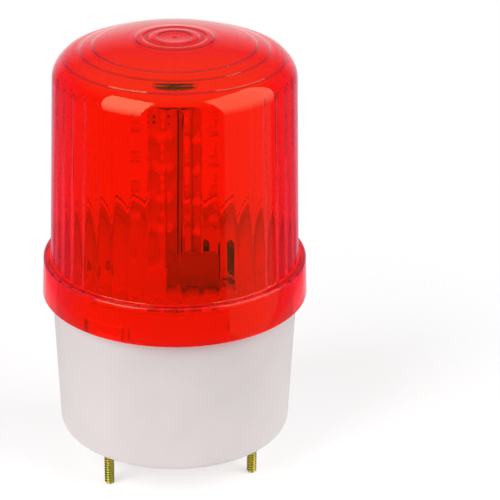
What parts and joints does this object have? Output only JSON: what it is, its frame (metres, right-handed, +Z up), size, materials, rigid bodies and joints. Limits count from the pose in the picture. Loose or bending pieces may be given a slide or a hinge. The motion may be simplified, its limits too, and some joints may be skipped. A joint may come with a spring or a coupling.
{
  "type": "flashing warning light",
  "caption": "Flashing warning light for machines: red ribbed dome that twists onto a pale drafted cup, a tower of light-emitting diodes inside and mounting studs below.",
  "frame": {"origin": "centre of the cup's seating face, in the plane that the studs stand out of", "axes": "+Z up along the axis of the dome, -Y towards the front"},
  "size_m": [0.1036, 0.1036, 0.1803],
  "materials": {
    "housing": "satin moulded",
    "lens": "clear red, polished",
    "studs": "yellow passivated zinc",
    "rubber": "matt",
    "seal": "matt silicone",
    "board": "satin laminate",
    "screws": "zinc plated",
    "terminal": "satin",
    "tower": "satin moulded",
    "strip": "white solder mask",
    "led": "clear epoxy",
    "sleeve": "shrink sleeve",
    "capacitor": "shrink sleeve",
    "resistor": "lacquered",
    "black_plastic": "moulded"
  },
  "bodies": {
    "base": {"base_housing": "housing", "mounting_studs": "studs", "cable_grommet": "rubber", "seal_ring": "seal", "deck_ring": "tower", "control_board": "board", "board_screws": "screws", "terminal_block": "terminal", "tower_foot": "tower", "tower_spine": "black_plastic", "led_board_1": "strip", "led_board_2": "strip", "led_board_3": "strip", "led_board_4": "strip", "led_board_5": "strip", "led_board_6": "strip", "leds_1": "led", "leds_2": "led", "leds_3": "led", "leds_4": "led", "leds_5": "led", "leds_6": "led", "tower_cap": "black_plastic", "tower_screw": "black_plastic", "main_capacitor": "sleeve", "small_capacitor": "capacitor", "resistors": "resistor", "diodes": "black_plastic", "driver_chip": "black_plastic"},
    "lens": {"lens": "lens"}
  },
  "joints": [
    {"name": "lens_twist", "type": "hinge", "parent": "base", "child": "lens", "pos_m": [0, 0, 0.07], "axis": [0, 0, 1], "range_deg": [-22, 0]}
  ]
}
